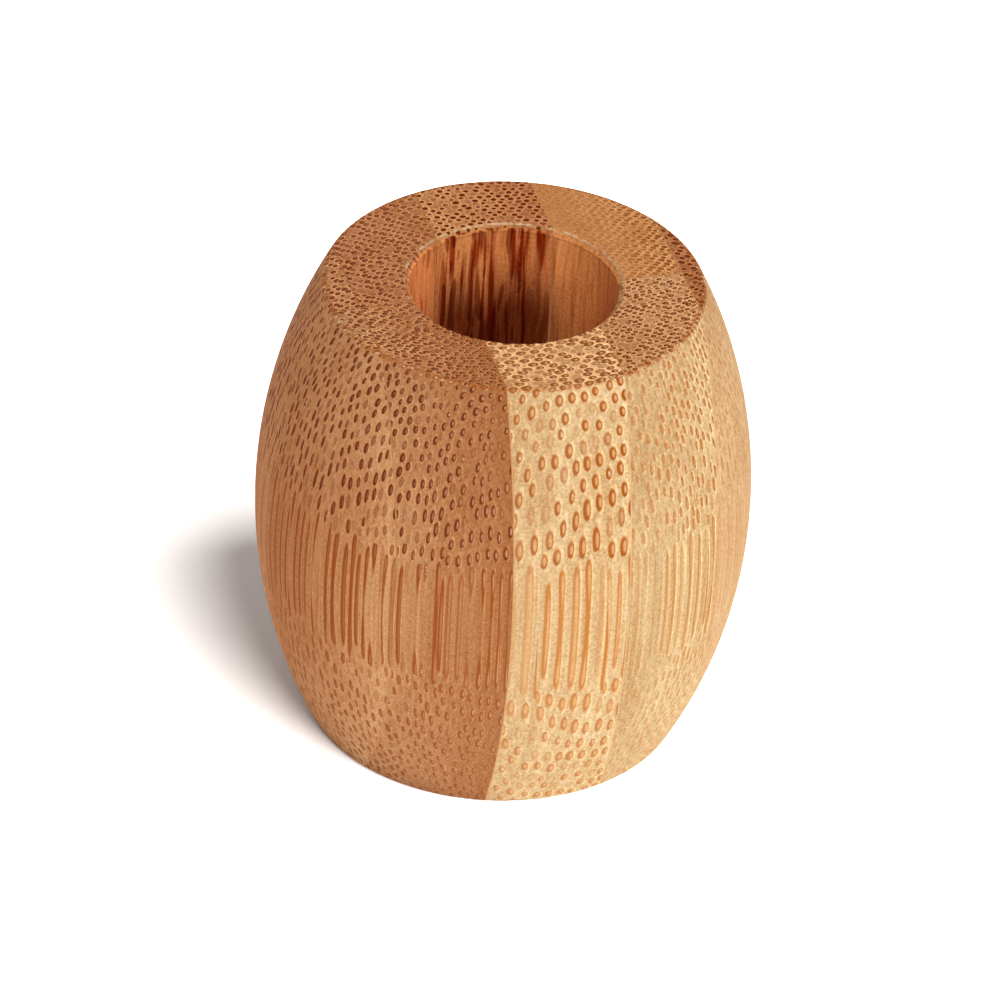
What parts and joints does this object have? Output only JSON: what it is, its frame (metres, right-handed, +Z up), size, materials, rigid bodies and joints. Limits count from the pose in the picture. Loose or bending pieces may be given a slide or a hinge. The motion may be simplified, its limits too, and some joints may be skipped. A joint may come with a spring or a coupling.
{
  "type": "toothbrush holder",
  "caption": "Small barrel-shaped bamboo stand with one blind bore that holds a toothbrush upright by its handle.",
  "frame": {"origin": "centre of the flat base, on the turning axis", "axes": "+Z up along the turning axis and out of the bore; +X across the glued strips, square to the glue faces; +Y along the strips' width, from the front row to the back row"},
  "size_m": [0.03, 0.03, 0.03],
  "materials": {
    "brown_bamboo": "sanded satin",
    "cream_bamboo": "sanded satin",
    "tan_bamboo": "sanded satin",
    "amber_bamboo": "sanded satin",
    "wood_glue": "matte"
  },
  "bodies": {
    "root": {"front_left_outer_strip": "brown_bamboo", "front_left_inner_strip": "brown_bamboo", "front_middle_strip": "cream_bamboo", "front_right_inner_strip": "tan_bamboo", "front_right_outer_strip": "tan_bamboo", "back_left_outer_strip": "brown_bamboo", "back_left_inner_strip": "brown_bamboo", "back_middle_strip": "amber_bamboo", "back_right_inner_strip": "amber_bamboo", "back_right_outer_strip": "tan_bamboo", "front_left_outer_glue": "wood_glue", "front_left_inner_glue": "wood_glue", "front_right_inner_glue": "wood_glue", "front_right_outer_glue": "wood_glue", "back_left_outer_glue": "wood_glue", "back_left_inner_glue": "wood_glue", "back_right_inner_glue": "wood_glue", "back_right_outer_glue": "wood_glue", "row_glue": "wood_glue"}
  },
  "joints": []
}
